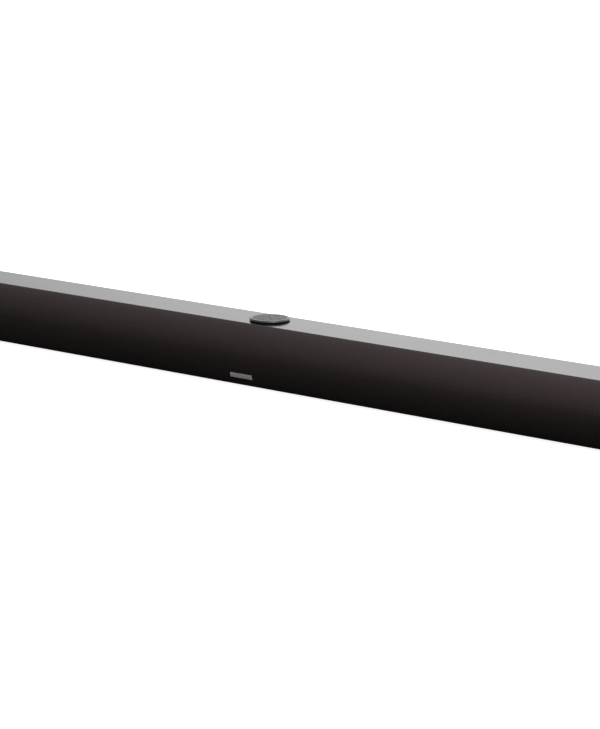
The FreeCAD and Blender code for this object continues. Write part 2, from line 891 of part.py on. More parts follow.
def power_transformer():
    """A laminated core round a square winding, on a moulded base."""
    x = transformer_x
    half = transformer_half_x
    y = Y_BOARD + transformer_half_y + part_inset
    y0 = y - transformer_half_y
    y1 = y + transformer_half_y
    base_top = Z_BOARD_TOP + transformer_base
    top = Z_BOARD_TOP + transformer_height
    low = base_top + transformer_leg
    high = top - transformer_leg
    core = block(x - half, x + half, y0, y1, base_top, top)
    core = core.cut(block(x - winding_half, x + winding_half, y0, y1, low, high))
    winding = block(
        x - winding_half, x + winding_half, y0 + wall / 2, y1 - wall / 2, low, high
    )
    base = block(x - half, x + half, y0 + wall, y1 - wall, Z_BOARD_TOP, base_top)
    return joined([core, winding, base])


def power_capacitors():
    y = Y_BOARD + CAPACITORS[0][1] + 1.0
    return Part.makeCompound(
        [
            post(radius, x, y, Z_BOARD_TOP, Z_BOARD_TOP + height)
            for x, radius, height in CAPACITORS
        ]
    )


def mains_inlet():
    """A figure-eight inlet with its two pins."""
    width, low, high = socket_sizes()["mains"]
    x = SOCKET_X["mains"]
    middle = (low + high) / 2
    lobe = pin_offset - fit_gap
    back = Y_SOCKET - mains_depth
    floor = back + 2 * socket_back
    body = block(x - width / 2, x + width / 2, back, Y_SOCKET, low, high)
    hollow = joined(
        [bolt(lobe, x + s * pin_offset, middle, floor, Y_SOCKET) for s in (-1, 1)]
        + [
            block(
                x - pin_offset,
                x + pin_offset,
                floor,
                Y_SOCKET,
                middle - pin_radius,
                middle + pin_radius,
            )
        ]
    )
    pins = [
        bolt(pin_radius, x + s * pin_offset, middle, back + socket_back, Y_SOCKET - pin_setback)
        for s in (-1, 1)
    ]
    return joined([body.cut(hollow)] + pins)


def metal_socket(name, depth, bevel):
    """A plated shell round a contact tongue; bevel cuts the mouth's lower corners."""
    width, low, high = socket_sizes()[name]
    left = SOCKET_X[name] - width / 2
    right = SOCKET_X[name] + width / 2
    back = Y_SOCKET - depth
    floor = back + socket_back
    shell = block(left, right, back, Y_SOCKET, low, high)
    mouth = block(
        left + metal_wall,
        right - metal_wall,
        floor,
        Y_SOCKET,
        low + metal_wall,
        high - metal_wall,
    )
    if bevel > 0:
        lower = [
            e
            for e in mouth.Edges
            if abs(e.CenterOfMass.z - low - metal_wall) < 0.01 and e.Length > depth / 2
            and abs(e.CenterOfMass.x - SOCKET_X[name]) > bevel
        ]
        mouth = mouth.makeChamfer(bevel, lower)
    middle = (low + high) / 2
    tongue = block(
        left + 3 * metal_wall,
        right - 3 * metal_wall,
        floor - socket_back / 2,
        Y_SOCKET - tongue_setback,
        middle - tongue_thickness / 2,
        middle + tongue_thickness / 2,
    )
    return joined([shell.cut(mouth), tongue])


def aux_jack():
    """A 3.5 mm jack: a block on the board and a round barrel through the panel."""
    x = SOCKET_X["aux"]
    front = Y_PANEL - panel_thickness
    body = block(
        x - aux_half,
        x + aux_half,
        front - aux_depth + 1.0,
        front - fit_gap,
        Z_BOARD_TOP,
        AUX_Z + aux_half,
    )
    barrel = bolt(aux_radius, x, AUX_Z, front - 1.0, Y_SOCKET)
    return joined([body, barrel]).cut(
        bolt(aux_bore, x, AUX_Z, Y_SOCKET - aux_depth, Y_SOCKET)
    )


def optical_socket():
    width, low, high = socket_sizes()["optical"]
    x = SOCKET_X["optical"]
    half = shutter_half + running_gap
    back = Y_SOCKET - optical_depth
    floor = back + socket_back
    mouth = low + shutter_low - running_gap
    body = block(x - width / 2, x + width / 2, back, Y_SOCKET, low, high)
    body = body.cut(
        block(x - half, x + half, floor, Y_SOCKET, mouth, HINGE_Z - shutter_clear)
    )
    body = body.cut(
        block(x - half, x + half, floor, Y_SOCKET - socket_lip, mouth, high - metal_wall)
    )
    reach = half + shutter_pin + fit_gap
    return body.cut(
        rod(
            shutter_pin + 0.1,
            point(x - reach, HINGE_Y, HINGE_Z),
            point(x + reach, HINGE_Y, HINGE_Z),
        )
    )


def optical_shutter():
    """A small flap on its own pin. It swings up and in as the plug goes in."""
    x = SOCKET_X["optical"]
    flap = block(
        x - shutter_half,
        x + shutter_half,
        HINGE_Y - shutter_thickness / 2,
        HINGE_Y + shutter_thickness / 2,
        Z_BOARD_TOP + shutter_low,
        HINGE_Z,
    )
    reach = shutter_half + running_gap + shutter_pin
    pin = rod(
        shutter_pin, point(x - reach, HINGE_Y, HINGE_Z), point(x + reach, HINGE_Y, HINGE_Z)
    )
    return joined([flap, pin])


def status_screw_places():
    reach = status_half_x - board_screw_inset
    return [STATUS_MIDDLE - reach, STATUS_MIDDLE + reach]


def status_board():
    back = Y_BAFFLE - status_post
    board = block(
        STATUS_MIDDLE - status_half_x,
        STATUS_MIDDLE + status_half_x,
        STATUS_FACE,
        back,
        Z_NOSE - status_half_z,
        Z_NOSE + status_half_z,
    )
    for x in status_screw_places():
        board = board.cut(bolt(board_screw_radius, x, Z_NOSE, STATUS_FACE, back))
    return board


def status_light_pipe():
    x = status_x
    half = light_radius + 1.5
    front = STATUS_FACE - light_foot
    foot_block = block(
        x - half, x + half, front, STATUS_FACE, Z_NOSE - half, Z_NOSE + half
    )
    stem = bolt(light_radius, x, Z_NOSE, front, Y_NOSE + cloth_thickness + light_setback)
    return joined([foot_block, stem])


def remote_receiver():
    x = receiver_x
    half = receiver_half
    front = STATUS_FACE - half
    body = block(x - half, x + half, front, STATUS_FACE, Z_NOSE - half, Z_NOSE + half)
    lens = Part.makeSphere(0.8 * half, point(x, front, Z_NOSE))
    return joined([body, lens])


def driver_screw_places(x):
    orbit = DRIVER_RADIUS - driver_screw_head - fit_gap
    places = []
    for i in range(4):
        angle = math.pi / 4 + math.pi / 2 * i
        places.append(
            (x + orbit * math.cos(angle), Z_DRIVER + orbit * math.sin(angle))
        )
    return places


def driver_frame(index):
    """A pressed steel basket: flange, sloping wall with four windows, back ring."""
    back_radius = MAGNET_RADIUS - basket_step
    outline = [
        (CONE_HOLE, driver_flange),
        (CONE_HOLE, 0.0),
        (back_radius - basket_wall, BACK_RING),
        (COIL_OUTER + magnet_gap, BACK_RING),
        (COIL_OUTER + magnet_gap, -BASKET_DEPTH),
        (back_radius, -BASKET_DEPTH),
        (BASKET_RADIUS, -0.2),
        (BASKET_RADIUS, 0.0),
        (DRIVER_RADIUS, 0.0),
        (DRIVER_RADIUS, driver_flange),
    ]
    centre = driver_point(index)
    frame = turned(outline, centre, point(0, -1, 0))
    middle = Y_BAFFLE_BACK + (BASKET_DEPTH - baffle_wall) / 2
    for i in range(4):
        angle = math.pi / 2 * i
        way = point(math.cos(angle), 0, math.sin(angle))
        start = point(DRIVER_X[index], middle, Z_DRIVER) + way * COIL_OUTER
        frame = frame.cut(rod(basket_window, start, start + way * DRIVER_RADIUS))
    for x, z in driver_screw_places(DRIVER_X[index]):
        frame = frame.cut(
            bolt(board_screw_radius, x, z, Y_BAFFLE - driver_flange, Y_BAFFLE)
        )
    return frame


def driver_magnet(index):
    """Top plate, ring magnet and yoke round the voice coil's gap."""
    front = -BASKET_DEPTH
    rear = front - magnet_depth
    plate = MAGNET_RADIUS - plate_step
    gap_floor = driver_flange - cone_depth - coil_length - cone_travel - fit_gap
    outline = [
        (0.0, front),
        (COIL_INNER, front),
        (COIL_INNER, gap_floor),
        (COIL_OUTER, gap_floor),
        (COIL_OUTER, front),
        (plate, front),
        (plate, front - top_plate),
        (MAGNET_RADIUS, front - top_plate),
        (MAGNET_RADIUS, rear + back_plate),
        (plate, rear + back_plate),
        (plate, rear),
        (0.0, rear),
    ]
    return turned(outline, driver_point(index), point(0, -1, 0))


def driver_cone(index):
    """Paper cone, voice coil and dust cap, which move as one piece."""
    edge = driver_flange
    neck = edge - cone_depth
    lip = CONE_RADIUS - cone_lip
    cap = neck + cap_rise
    inside = coil_radius - coil_wall
    outline = [
        (CONE_RADIUS, edge),
        (lip, edge),
        (coil_radius, neck + 2 * cone_thickness),
        (coil_radius - cap_inset, cap - cap_shoulder),
        (0.0, cap),
        (0.0, cap - cone_thickness),
        (coil_radius - cap_inset, cap - cap_shoulder - cone_thickness),
        (inside, neck + cone_thickness),
        (inside, neck - coil_length),
        (coil_radius, neck - coil_length),
        (coil_radius, neck),
        (lip, edge - cone_thickness),
        (CONE_RADIUS, edge - cone_thickness),
    ]
    return turned(outline, driver_point(index), point(0, -1, 0))


def driver_surround(index):
    """A half-roll rubber ring from the flange to the edge of the cone."""
    roll = CONE_RADIUS + surround_width
    outer = surround_width
    inner = surround_width - surround_thickness
    steps = 12
    face = driver_flange
    arch_out = []
    arch_in = []
    for i in range(steps + 1):
        angle = math.pi * i / steps
        arch_out.append(
            (roll + outer * math.cos(angle), face + outer * math.sin(angle))
        )
        arch_in.append((roll + inner * math.cos(angle), face + inner * math.sin(angle)))
    lip_out = [
        (roll + outer + surround_lip, face),
        (roll + outer + surround_lip, face + surround_thickness),
        (roll + outer * 0.96, face + surround_thickness),
    ]
    lip_in = [
        (roll - outer * 0.96, face + surround_thickness),
        (CONE_RADIUS - cone_lip, face + surround_thickness),
        (CONE_RADIUS - cone_lip, face),
    ]
    outline = lip_out + arch_out[2:-2] + lip_in + arch_in[::-1]
    return turned(outline, driver_point(index), point(0, -1, 0))


def damping_wadding():
    """One block of wadding in each chamber, behind the drivers."""
    y0 = Y_BAFFLE + BASKET_DEPTH + magnet_depth + wadding_gap
    near = CHAMBER_X + baffle_wall + wadding_gap / 2
    far = X_END - cap_spigot - wadding_gap
    blocks = []
    for side in (-1, 1):
        x0, x1 = sorted((side * near, side * far))
        z1 = Z_CEILING - wadding_headroom
        blanket = block(x0, x1, y0, Y_INSIDE - fit_gap, Z_FLOOR + fit_gap, z1)
        for x, z in insert_places():
            blanket = blanket.cut(bolt(insert_radius + wall + fit_gap, x, z, y0, Y_INSIDE))
        blocks.append(blanket)
    return Part.makeCompound(blocks)


def pan_head_screw(hole, head_radius, reach, start, inward):
    """A screw for a hole of the given radius: head at start, shank running inward."""
    head_end = start + inward * screw_head_height
    head = rod(head_radius, start, head_end)
    shank = rod(hole - screw_thread, start, head_end + inward * reach)
    drive = rod(head_radius * 0.45, start, start + inward * (screw_head_height * 0.55))
    return head.fuse(shank).cut(drive)


def case_screws():
    screws = []
    for x, z in back_screw_places():
        screws.append(
            pan_head_screw(
                screw_radius,
                screw_head_radius,
                case_screw_bite,
                point(x, Y_BACK, z),
                point(0, -1, 0),
            )
        )
    for x in CASE_SCREW_X:
        screws.append(
            pan_head_screw(
                screw_radius,
                screw_head_radius,
                case_screw_bite,
                point(x, Y_BAFFLE_BACK + screw_post_radius, Z_BOTTOM),
                point(0, 0, 1),
            )
        )
    return Part.makeCompound(screws)


def driver_screws():
    head = Y_BAFFLE - driver_flange - screw_head_height
    return Part.makeCompound(
        [
            pan_head_screw(
                board_screw_radius,
                driver_screw_head,
                driver_flange + baffle_wall - fit_gap,
                point(x, head, z),
                point(0, 1, 0),
            )
            for centre in DRIVER_X
            for x, z in driver_screw_places(centre)
        ]
    )


def board_screws():
    """Screws of the two long boards, the key board, the connector panel and the status board."""
    places = [
        (point(x, y, Z_BOARD_TOP + screw_head_height), point(0, 0, -1), screw_bite)
        for x, y in board_screw_places()
    ]
    low = Z_KEY_BOARD - board_thickness - screw_head_height
    key_bite = Z_CEILING - Z_KEY_BOARD
    places += [
        (point(x, y, low), point(0, 0, 1), key_bite) for x, y in key_board_screw_places()
    ]
    front = Y_PANEL - panel_thickness - screw_head_height
    places += [
        (point(x, front, z), point(0, 1, 0), screw_bite) for x, z in panel_screw_places()
    ]
    front = STATUS_FACE - screw_head_height
    places += [
        (point(x, front, Z_NOSE), point(0, 1, 0), status_post)
        for x in status_screw_places()
    ]
    return Part.makeCompound(
        [
            pan_head_screw(board_screw_radius, board_screw_head, reach, start, inward)
            for start, inward, reach in places
        ]
    )


def wall_inserts():
    """Threaded brass inserts, flush with the back."""
    inserts = []
    front = Y_BACK - insert_length
    for x, z in insert_places():
        body = bolt(insert_radius - screw_thread, x, z, front, Y_BACK)
        inserts.append(body.cut(bolt(insert_bore, x, z, front, Y_BACK)))
    return Part.makeCompound(inserts)


def lead_path(corners, bend):
    """Straight runs joined by tangent arcs of one bend radius."""
    edges = []
    start = corners[0]
    for before, corner, after in zip(corners, corners[1:], corners[2:]):
        back = (before - corner).normalize()
        on = (after - corner).normalize()
        half = back.getAngle(on) / 2
        cut = bend / math.tan(half)
        enter = corner + back * cut
        leave = corner + on * cut
        inward = (back + on).normalize()
        middle = corner + inward * (bend / math.sin(half) - bend)
        edges.append(Part.LineSegment(start, enter).toShape())
        edges.append(Part.Arc(enter, middle, leave).toShape())
        start = leave
    edges.append(Part.LineSegment(start, corners[-1]).toShape())
    return Part.Wire(edges)


def speaker_leads():
    """A lead from the main board to the underside of each driver, laid along the tray."""
    leads = []
    for i, x in enumerate(DRIVER_X):
        side = -1 if x < 0 else 1
        outer = i in (0, 3)
        y = LEAD_Y + (lead_pitch / 2 if outer else -lead_pitch / 2)
        start = LEAD_START + side * lead_spread * (1.5 if outer else 1.0)
        corners = [
            point(start, y, Z_BOARD),
            point(start, y, LEAD_Z),
            point(x, y, LEAD_Z),
            point(x, y, Z_DRIVER - MAGNET_RADIUS),
        ]
        circle = Part.makeCircle(lead_radius, corners[0], corners[1] - corners[0])
        path = lead_path(corners, lead_bend)
        leads.append(path.makePipeShell([Part.Wire(circle)], True, True))
    return Part.makeCompound(leads)


def main():
    os.makedirs("parts", exist_ok=True)
    save("bottom_tray", bottom_tray())
    save("back_panel", back_panel())
    save("top_cover", top_cover())
    save("front_baffle", front_baffle())
    save("grille_frame", grille_frame())
    save("grille_cloth", grille_cloth())
    save("end_cap_left", end_cap(-1))
    save("end_cap_right", end_cap(1))
    save("badge", badge())
    save("connector_panel", connector_panel())
    foot_names = ("front_left", "front_right", "back_left", "back_right")
    for name, (x, y) in zip(foot_names, foot_places()):
        save("foot_" + name, foot(x, y))
    save("control_ring", control_ring())
    for i, name in enumerate(("volume_up", "source", "volume_down", "power")):
        save("key_" + name, key(i))
    save("key_board", key_board())
    save("key_switches", key_switches())
    save("main_board", circuit_board(MAIN_BOARD))
    save("amplifier_chip", amplifier_chip())
    save("heat_sink", heat_sink())
    save("output_filters", output_filters())
    save("wireless_module", wireless_module())
    save("power_board", circuit_board(POWER_BOARD))
    save("power_transformer", power_transformer())
    save("power_capacitors", power_capacitors())
    save("mains_inlet", mains_inlet())
    save("hdmi_socket", metal_socket("hdmi", hdmi_depth, hdmi_bevel))
    save("usb_socket", metal_socket("usb", usb_depth, 0.0))
    save("aux_jack", aux_jack())
    save("optical_socket", optical_socket())
    save("optical_shutter", optical_shutter())
    save("status_board", status_board())
    save("status_light_pipe", status_light_pipe())
    save("remote_receiver", remote_receiver())
    for i in range(len(DRIVER_X)):
        number = str(i + 1)
        save("driver_frame_" + number, driver_frame(i))
        save("driver_magnet_" + number, driver_magnet(i))
        save("driver_cone_" + number, driver_cone(i))
        save("driver_surround_" + number, driver_surround(i))
    save("damping_wadding", damping_wadding())
    save("case_screws", case_screws())
    save("driver_screws", driver_screws())
    save("board_screws", board_screws())
    save("wall_inserts", wall_inserts())
    save("speaker_leads", speaker_leads())


main()
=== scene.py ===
import math

import bmesh
import bpy
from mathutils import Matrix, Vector


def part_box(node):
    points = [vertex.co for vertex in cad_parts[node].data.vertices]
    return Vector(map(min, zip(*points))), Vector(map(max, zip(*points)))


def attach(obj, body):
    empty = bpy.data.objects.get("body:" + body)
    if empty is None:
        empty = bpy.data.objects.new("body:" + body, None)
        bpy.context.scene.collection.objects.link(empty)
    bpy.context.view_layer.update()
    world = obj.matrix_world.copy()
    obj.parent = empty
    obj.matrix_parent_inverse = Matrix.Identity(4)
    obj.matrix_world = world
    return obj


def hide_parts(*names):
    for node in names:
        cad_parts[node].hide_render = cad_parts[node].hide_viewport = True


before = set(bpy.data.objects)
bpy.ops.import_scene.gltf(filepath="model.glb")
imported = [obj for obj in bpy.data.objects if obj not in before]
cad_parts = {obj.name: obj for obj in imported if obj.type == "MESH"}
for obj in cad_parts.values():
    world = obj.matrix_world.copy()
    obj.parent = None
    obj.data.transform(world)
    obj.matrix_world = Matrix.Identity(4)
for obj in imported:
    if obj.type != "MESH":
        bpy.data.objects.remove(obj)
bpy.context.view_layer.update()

MM = 0.001

# --- Bottom tray, baffle and back panel ---------------------------------------------
# Black ABS mouldings that carry everything else. The mould was spark eroded, so the
# faces have a fine even grain. Screws hold the tray to the baffle and the back panel.
CASE_COLOUR = (0.011, 0.011, 0.012, 1)
CASE_GRAIN = 0.45 * MM
CASE_GRAIN_DEPTH = 0.02 * MM


class Finish:
    """A node material: one Principled shader and what is wired into it."""

    def __init__(self, name, colour, roughness, **sockets):
        self.material = bpy.data.materials.new(name)
        self.material.use_nodes = True
        self.tree = self.material.node_tree
        self.shader = self.tree.nodes["Principled BSDF"]
        self.shader.inputs["Base Color"].default_value = colour
        self.shader.inputs["Roughness"].default_value = roughness
        for socket, value in sockets.items():
            self.shader.inputs[socket.replace("_", " ")].default_value = value
        self.place = self.tree.nodes.new("ShaderNodeTexCoord").outputs["Object"]
        self.normal = None

    def add(self, kind, inputs=None, **settings):
        node = self.tree.nodes.new("ShaderNode" + kind)
        for key, value in settings.items():
            setattr(node, key, value)
        for key, value in (inputs or {}).items():
            if isinstance(value, bpy.types.NodeSocket):
                self.tree.links.new(value, node.inputs[key])
            else:
                node.inputs[key].default_value = value
        return node

    def math(self, operation, *values):
        node = self.add("Math", dict(enumerate(values)), operation=operation)
        return node.outputs[0]

    def noise(self, size, detail=2.0, stretch=(1, 1, 1)):
        """Noise whose features are about size metres across."""
        spread = self.add("Mapping", {"Vector": self.place, "Scale": stretch})
        node = self.add(
            "TexNoise",
            {"Vector": spread.outputs[0], "Scale": 1 / size, "Detail": detail},
        )
        return node.outputs["Fac"]

    def ramp(self, value, low, high, at=(0.3, 0.7)):
        """Maps value from the range at to the range low to high."""
        node = self.add(
            "MapRange",
            {
                "Value": value,
                "From Min": at[0],
                "From Max": at[1],
                "To Min": low,
                "To Max": high,
            },
        )
        return node.outputs[0]

    def blend_colours(self, value, first, second):
        node = self.add("Mix", {"Factor": value}, data_type="RGBA")
        node.inputs["A"].default_value = first
        node.inputs["B"].default_value = second
        return node.outputs["Result"]

    def colour(self, output):
        self.tree.links.new(output, self.shader.inputs["Base Color"])

    def rough(self, output):
        self.tree.links.new(output, self.shader.inputs["Roughness"])

    def bump(self, height, depth, strength=1.0):
        """Raises the surface by depth metres where height is 1. Calls stack."""
        inputs = {"Height": height, "Distance": depth, "Strength": strength}
        if self.normal is not None:
            inputs["Normal"] = self.normal
        self.normal = self.add("Bump", inputs).outputs["Normal"]
        self.tree.links.new(self.normal, self.shader.inputs["Normal"])


def tinted(colour, factor):
    return tuple(c * factor for c in colour[:3]) + (1,)


def dress(finish, *names):
    """Gives CAD nodes a finish."""
    for name in names:
        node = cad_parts[name]
        node.data.materials.clear()
        node.data.materials.append(finish.material)


def moulded(name, colour, roughness, grain, depth):
    """Moulded plastic: fine mould grain and slow shifts of gloss."""
    finish = Finish(name, colour, roughness, IOR=1.5)
    fine = finish.noise(grain, 3.0)
    slow = finish.noise(45 * MM, 2.0)
    mixed = finish.math("ADD", slow, finish.math("MULTIPLY", fine, 0.4))
    finish.rough(finish.ramp(mixed, roughness * 0.86, roughness * 1.14, (0.45, 0.95)))
    finish.colour(
        finish.blend_colours(fine, tinted(colour, 0.8), tinted(colour, 1.25))
    )
    finish.bump(fine, depth)
    return finish


case_plastic = moulded(
    "case_plastic", CASE_COLOUR, 0.52, CASE_GRAIN, CASE_GRAIN_DEPTH
)
dress(case_plastic, "bottom_tray", "back_panel", "front_baffle", "grille_frame")

# --- Feet ----------------------------------------------------------------------------
# Four round pads of soft black rubber, stuck into shallow recesses in the tray. Their
# faces are matt and pick up pale dust where they meet the table.
FOOT_COLOUR = (0.017, 0.017, 0.017, 1)
FOOT_DUST = (0.06, 0.058, 0.055, 1)

foot_rubber = Finish("foot_rubber", FOOT_COLOUR, 0.85)
dust = foot_rubber.ramp(foot_rubber.noise(2.5 * MM, 4.0), 0.0, 0.5, (0.5, 0.75))
foot_rubber.colour(foot_rubber.blend_colours(dust, FOOT_COLOUR, FOOT_DUST))
foot_rubber.bump(foot_rubber.noise(0.3 * MM), 0.02 * MM)
dress(foot_rubber, *[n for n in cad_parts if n.startswith("foot_")])

# --- Drivers -------------------------------------------------------------------------
# Four full-range drivers: a black coated steel basket and motor, a coated paper cone
# with its voice coil and dust cap, and a rubber half-roll surround at its edge.
STEEL_COLOUR = (0.028, 0.028, 0.03, 1)
CONE_COLOUR = (0.030, 0.030, 0.033, 1)
CONE_FIBRE = (0.075, 0.073, 0.07, 1)
SURROUND_COLOUR = (0.014, 0.014, 0.014, 1)

coated_steel = Finish("coated_steel", STEEL_COLOUR, 0.4, Metallic=0.35)
coated_steel.rough(coated_steel.ramp(coated_steel.noise(6 * MM), 0.32, 0.5))
coated_steel.bump(coated_steel.noise(0.8 * MM), 0.015 * MM)

cone_paper = Finish("cone_paper", CONE_COLOUR, 0.75)
fibre = cone_paper.noise(0.5 * MM, 5.0, (1, 0.35, 1))
cone_paper.colour(
    cone_paper.blend_colours(
        cone_paper.ramp(fibre, 0.0, 0.6, (0.5, 0.75)), CONE_COLOUR, CONE_FIBRE
    )
)
cone_paper.bump(fibre, 0.05 * MM)

surround_rubber = Finish("surround_rubber", SURROUND_COLOUR, 0.6)
surround_rubber.rough(surround_rubber.ramp(surround_rubber.noise(3 * MM), 0.5, 0.7))
surround_rubber.bump(surround_rubber.noise(0.4 * MM), 0.01 * MM)

for number in "1234":
    dress(coated_steel, "driver_frame_" + number, "driver_magnet_" + number)
    dress(cone_paper, "driver_cone_" + number)
    dress(surround_rubber, "driver_surround_" + number)

# --- Wadding -------------------------------------------------------------------------
# A blanket of loose polyester wadding in each chamber, behind the drivers. It is off
# white, soft and fibrous, and is only pushed into place.
WADDING_LIGHT = (0.78, 0.77, 0.73, 1)
WADDING_SHADE = (0.52, 0.51, 0.48, 1)

wadding = Finish("wadding", WADDING_LIGHT, 1.0, Sheen_Weight=0.5, Sheen_Roughness=0.6)
tuft = wadding.noise(5 * MM, 6.0)
strand = wadding.noise(0.6 * MM, 4.0, (1, 1, 0.3))
wadding.colour(wadding.blend_colours(tuft, WADDING_SHADE, WADDING_LIGHT))
wadding.bump(tuft, 1.2 * MM)
wadding.bump(strand, 0.2 * MM)
dress(wadding, "damping_wadding")

# --- Boards --------------------------------------------------------------------------
# Glass laminate with a green solder mask. Copper tracks show as raised paler lines
# under the mask, with small tinned pads. Screws hold each board to moulded posts.
MASK_COLOUR = (0.012, 0.085, 0.035, 1)
TRACK_COLOUR = (0.02, 0.15, 0.06, 1)
PAD_COLOUR = (0.55, 0.55, 0.52, 1)
TRACK_PITCH = 2.2 * MM
PAD_PITCH = 4.0 * MM
TRACK_SHARE = 0.28
PAD_REACH = 0.13
TRACK_WANDER = 20 * MM

solder_mask = Finish("solder_mask", MASK_COLOUR, 0.3)
wander = solder_mask.noise(14 * MM, 0.0)
across = solder_mask.add("SeparateXYZ", {"Vector": solder_mask.place}).outputs
drift = solder_mask.math("MULTIPLY", wander, TRACK_WANDER)
bent = solder_mask.math("ADD", across["Y"], drift)
stripe = solder_mask.math("FRACT", solder_mask.math("DIVIDE", bent, TRACK_PITCH))
track = solder_mask.math("GREATER_THAN", stripe, 1 - TRACK_SHARE)
dots = solder_mask.add(
    "TexVoronoi", {"Vector": solder_mask.place, "Scale": 1 / PAD_PITCH}
).outputs["Distance"]
pad = solder_mask.math("LESS_THAN", dots, PAD_REACH)
under_mask = solder_mask.blend_colours(track, MASK_COLOUR, TRACK_COLOUR)
tinned = solder_mask.add("Mix", {"Factor": pad, "A": under_mask}, data_type="RGBA")
tinned.inputs["B"].default_value = PAD_COLOUR
solder_mask.colour(tinned.outputs["Result"])
solder_mask.bump(solder_mask.math("ADD", track, pad), 0.04 * MM)
dress(
    solder_mask,
    "main_board",
    "power_board",
    "key_board",
    "status_board",
    "wireless_module",
)

# --- Parts on the boards -------------------------------------------------------------
# Black moulded chip, coils, transformer, capacitors, key switches and the receiver,
# all soldered down, and an extruded aluminium heat sink with a drawn grain.
COMPONENT_COLOUR = (0.02, 0.02, 0.021, 1)
EXTRUSION_COLOUR = (0.66, 0.67, 0.68, 1)

component_plastic = moulded(
    "component_plastic", COMPONENT_COLOUR, 0.45, 0.3 * MM, 0.01 * MM
)
dress(
    component_plastic,
    "amplifier_chip",
    "output_filters",
    "power_transformer",
    "power_capacitors",
    "key_switches",
    "remote_receiver",
)

extruded = Finish("extruded_aluminium", EXTRUSION_COLOUR, 0.38, Metallic=1.0)
drawn = extruded.noise(0.5 * MM, 3.0, (1, 0.03, 1))
extruded.rough(extruded.ramp(drawn, 0.28, 0.5))
extruded.bump(drawn, 0.02 * MM)
dress(extruded, "heat_sink")

# --- Status light pipe ---------------------------------------------------------------
# A clear acrylic rod that carries the status light to the back of the cloth. It sits
# on the status board and stops just short of the cloth.
PIPE_COLOUR = (0.86, 0.88, 0.9, 1)

clear_plastic = Finish(
    "clear_plastic", PIPE_COLOUR, 0.08, Transmission_Weight=0.9, IOR=1.49
)
clear_plastic.rough(clear_plastic.ramp(clear_plastic.noise(2 * MM), 0.05, 0.16))
clear_plastic.bump(clear_plastic.noise(1.5 * MM), 0.01 * MM)
dress(clear_plastic, "status_light_pipe")

# --- Speaker leads -------------------------------------------------------------------
# Stranded copper leads in smooth red insulation, laid along the tray from the main
# board and through a hole in each chamber wall to the drivers.
LEAD_COLOUR = (0.23, 0.012, 0.010, 1)

lead_skin = Finish("lead_skin", LEAD_COLOUR, 0.42)
lead_skin.rough(lead_skin.ramp(lead_skin.noise(4 * MM), 0.34, 0.52))
lead_skin.bump(lead_skin.noise(1.2 * MM, 2.0, (0.3, 1, 1)), 0.02 * MM)
dress(lead_skin, "speaker_leads")

# --- Connector panel and sockets -----------------------------------------------------
# A black plate closes the bay's inner end, and the sockets stand a little proud of it.
# The data sockets have tin plated shells, and the others are glossy black mouldings.
PANEL_COLOUR = (0.013, 0.013, 0.014, 1)
SHELL_COLOUR = (0.62, 0.61, 0.58, 1)
SOCKET_COLOUR = (0.008, 0.008, 0.009, 1)

panel_plastic = moulded("panel_plastic", PANEL_COLOUR, 0.48, 0.35 * MM, 0.015 * MM)
dress(panel_plastic, "connector_panel")

tin_plate = Finish("tin_plate", SHELL_COLOUR, 0.3, Metallic=1.0)
tin_plate.rough(tin_plate.ramp(tin_plate.noise(1.5 * MM, 4.0), 0.2, 0.42))
tin_plate.bump(tin_plate.noise(0.4 * MM), 0.006 * MM)
dress(tin_plate, "hdmi_socket", "usb_socket")

socket_plastic = moulded("socket_plastic", SOCKET_COLOUR, 0.28, 0.8 * MM, 0.006 * MM)
dress(socket_plastic, "mains_inlet", "aux_jack", "optical_socket", "optical_shutter")

# --- Top cover -----------------------------------------------------------------------
# One long moulding in polished black plastic, screwed down from the back. It mirrors
# the room, with a faint ripple from the mould, wipe marks and a few fine scratches.
TOP_COLOUR = (0.0055, 0.0052, 0.0052, 1)
TOP_ROUGHNESS = 0.13

polished = Finish("polished_top", TOP_COLOUR, TOP_ROUGHNESS, IOR=1.56)
wipes = polished.noise(30 * MM, 3.0, (0.25, 1, 1))
scratches = polished.noise(0.25 * MM, 2.0, (0.012, 1, 1))
scratched = polished.ramp(scratches, 0.0, 0.05, (0.66, 0.74))
polished.rough(
    polished.math("ADD", polished.ramp(wipes, 0.105, 0.165), scratched)
)
polished.bump(polished.noise(14 * MM, 1.0), 0.004 * MM)
dress(polished, "top_cover")

# --- End caps ------------------------------------------------------------------------
# Satin black caps that push into the ends of the cabinet. Their faces have a finer
# grain than the case.
CAP_COLOUR = (0.017, 0.0165, 0.0165, 1)

cap_plastic = moulded("cap_plastic", CAP_COLOUR, 0.36, 0.3 * MM, 0.008 * MM)
dress(cap_plastic, "end_cap_left", "end_cap_right")

# --- Grille cloth --------------------------------------------------------------------
# Warm black acoustic cloth, woven from fine polyester yarn and stretched over the
# grille frame. It turns into the seam at the top, under the lip and in at each end.
CLOTH_THICKNESS = 0.8 * MM
LOWER_NOSE_RADIUS = 73 * MM
CORNER_RADIUS = 9 * MM
NOSE_RISE = 32.3 * MM
SEAM_GAP = 0.6 * MM
YARN_PITCH = 0.55 * MM
# CLOTH_DARK to CLOTH_LIGHT spans painted shade between the yarns, a painted highlight on the
# yarn crowns, and the cloth's random tone.
CLOTH_DARK = (0.0105, 0.0078, 0.0079, 1)
CLOTH_LIGHT = (0.035, 0.0245, 0.0248, 1)
END_TUCK = 1.4 * MM
END_STEPS = 4
END_SINK = 0.35
UPPER_STEPS = 30
LOWER_STEPS = 14
CORNER_STEPS = 10
SPAN_STEPS = 120


def arc(centre, radius, start, end, count):
    """Points on an arc in the (y, z) plane. Angles run from the front, upwards."""
    points = []
    for i in range(count + 1):
        angle = start + (end - start) * i / count
        points.append(
            (centre[0] - radius * math.cos(angle), centre[1] + radius * math.sin(angle))
        )
    return points


